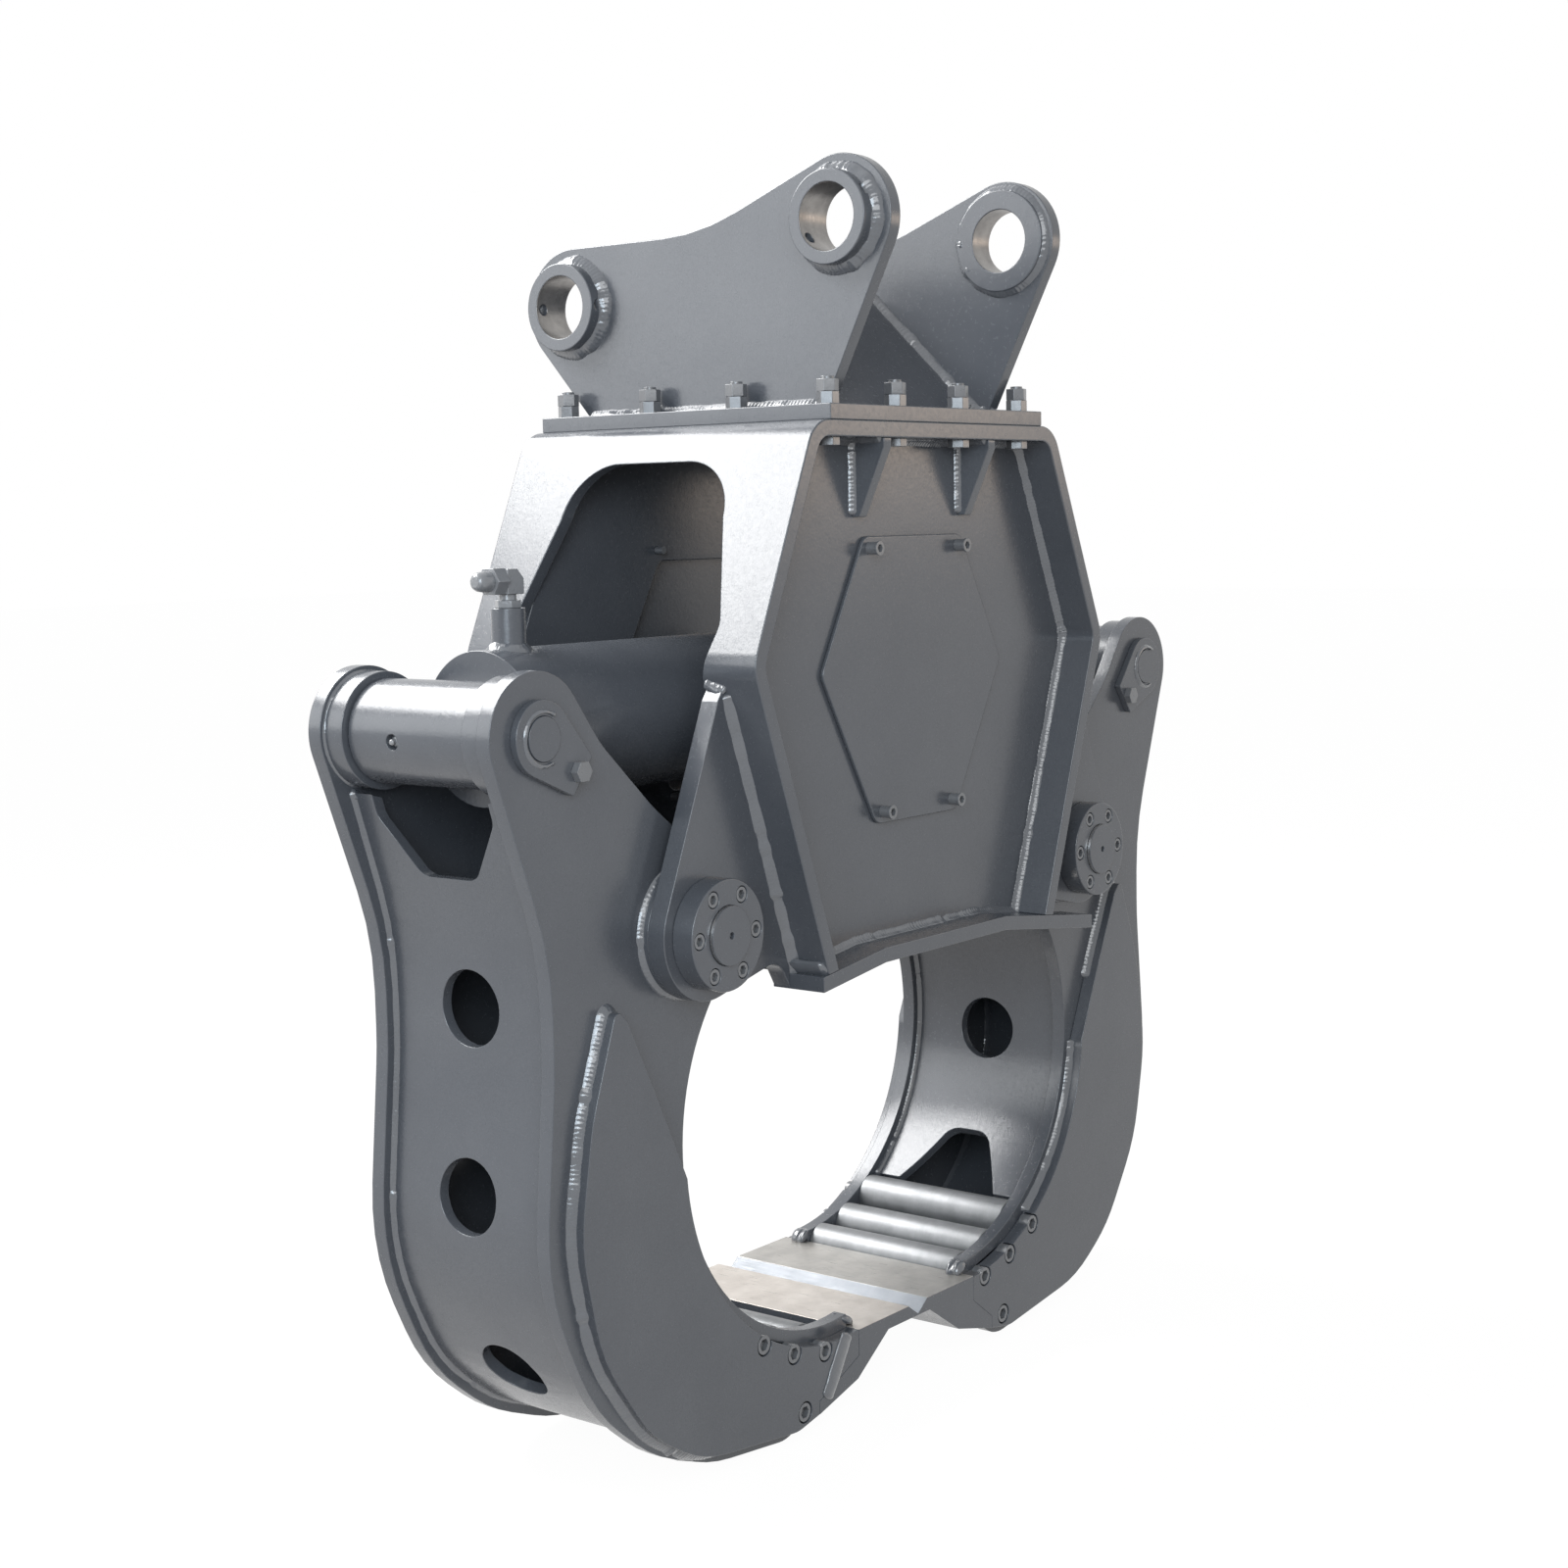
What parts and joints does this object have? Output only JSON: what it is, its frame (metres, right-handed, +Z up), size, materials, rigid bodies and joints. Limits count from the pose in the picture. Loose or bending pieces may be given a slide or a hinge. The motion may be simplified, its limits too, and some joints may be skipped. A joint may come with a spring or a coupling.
{
  "type": "stump shear",
  "caption": "Hydraulic stump shear for an excavator: curved jaws with meeting blades swing on pins under a folded steel hood, worked by a cross cylinder.",
  "frame": {"origin": "middle of the object's footprint on the ground it rests on, with the jaws closed", "axes": "+X from the left jaw to the right jaw, +Y from the front to the back, +Z up"},
  "size_m": [1.462, 0.5838, 1.5818],
  "materials": {
    "grey_paint": "semi-gloss grey enamel, lightly textured",
    "dark_paint": "semi-gloss dark grey enamel",
    "bare_steel": "machined steel with an oil film",
    "zinc": "zinc plated",
    "chrome": "hard chrome, ground and polished",
    "bronze": "turned bronze",
    "seal": "black polyurethane",
    "plug": "dark plastic"
  },
  "bodies": {
    "head": {"hood_strap": "grey_paint", "front_plate": "grey_paint", "rear_plate": "grey_paint", "inspection_covers": "grey_paint", "cover_screws": "zinc", "flange_gussets": "grey_paint", "bottom_plate": "grey_paint", "left_pivot_plates": "grey_paint", "right_pivot_plates": "grey_paint", "bracket_foot_plate": "grey_paint", "left_ear": "grey_paint", "right_ear": "grey_paint", "ear_web": "grey_paint", "ear_bosses": "grey_paint", "bracket_bolts": "zinc", "bracket_nuts": "zinc", "jaw_pins": "bare_steel", "pin_caps": "grey_paint", "cap_screws": "zinc"},
    "left_jaw": {"left_side_plates": "grey_paint", "left_doublers": "grey_paint", "left_outer_skin": "grey_paint", "left_inner_skin": "grey_paint", "left_hub": "dark_paint", "left_hub_bushes": "bronze", "left_grip_bars": "bare_steel", "left_bar_screws": "zinc", "left_blade": "grey_paint", "left_eye_collars": "grey_paint", "left_eye_pin": "bare_steel", "left_pin_keeper": "grey_paint", "left_keeper_bolt": "zinc"},
    "right_jaw": {"right_side_plates": "grey_paint", "right_doublers": "grey_paint", "right_outer_skin": "grey_paint", "right_inner_skin": "grey_paint", "right_hub": "dark_paint", "right_hub_bushes": "bronze", "right_grip_bars": "bare_steel", "right_bar_screws": "zinc", "right_blade": "grey_paint", "right_eye_collars": "grey_paint", "right_eye_pin": "bare_steel", "right_pin_keeper": "grey_paint", "right_keeper_bolt": "zinc"},
    "barrel": {"cylinder_barrel": "grey_paint", "barrel_eye": "grey_paint", "barrel_bushes": "bronze", "barrel_nipple": "zinc", "cylinder_gland": "dark_paint", "gland_seals": "seal", "port_adapters": "zinc", "elbow_fittings": "zinc", "port_plugs": "plug"},
    "rod": {"piston_rod": "chrome", "piston": "bare_steel", "piston_seals": "seal", "rod_eye": "grey_paint", "rod_bushes": "bronze", "rod_nipple": "zinc"}
  },
  "joints": [
    {"name": "left_jaw_swing", "type": "hinge", "parent": "head", "child": "left_jaw", "pos_m": [-0.42, 0, 0.67484], "axis": [0, 1, 0], "range_deg": [0, 40]},
    {"name": "right_jaw_swing", "type": "hinge", "parent": "head", "child": "right_jaw", "pos_m": [0.42, 0, 0.67484], "axis": [0, -1, 0], "range_deg": [0, 40]},
    {"name": "barrel_swing", "type": "hinge", "parent": "left_jaw", "child": "barrel", "pos_m": [-0.657, 0, 0.91984], "axis": [0, -1, 0], "range_deg": [0, 40]},
    {"name": "rod_swing", "type": "hinge", "parent": "right_jaw", "child": "rod", "pos_m": [0.657, 0, 0.91984], "axis": [0, 1, 0], "range_deg": [0, 40]}
  ],
  "couplings": [
    {"joint": "right_jaw_swing", "follows": "left_jaw_swing", "ratio": 1},
    {"joint": "barrel_swing", "follows": "left_jaw_swing", "ratio": 1},
    {"joint": "rod_swing", "follows": "left_jaw_swing", "ratio": 1}
  ]
}
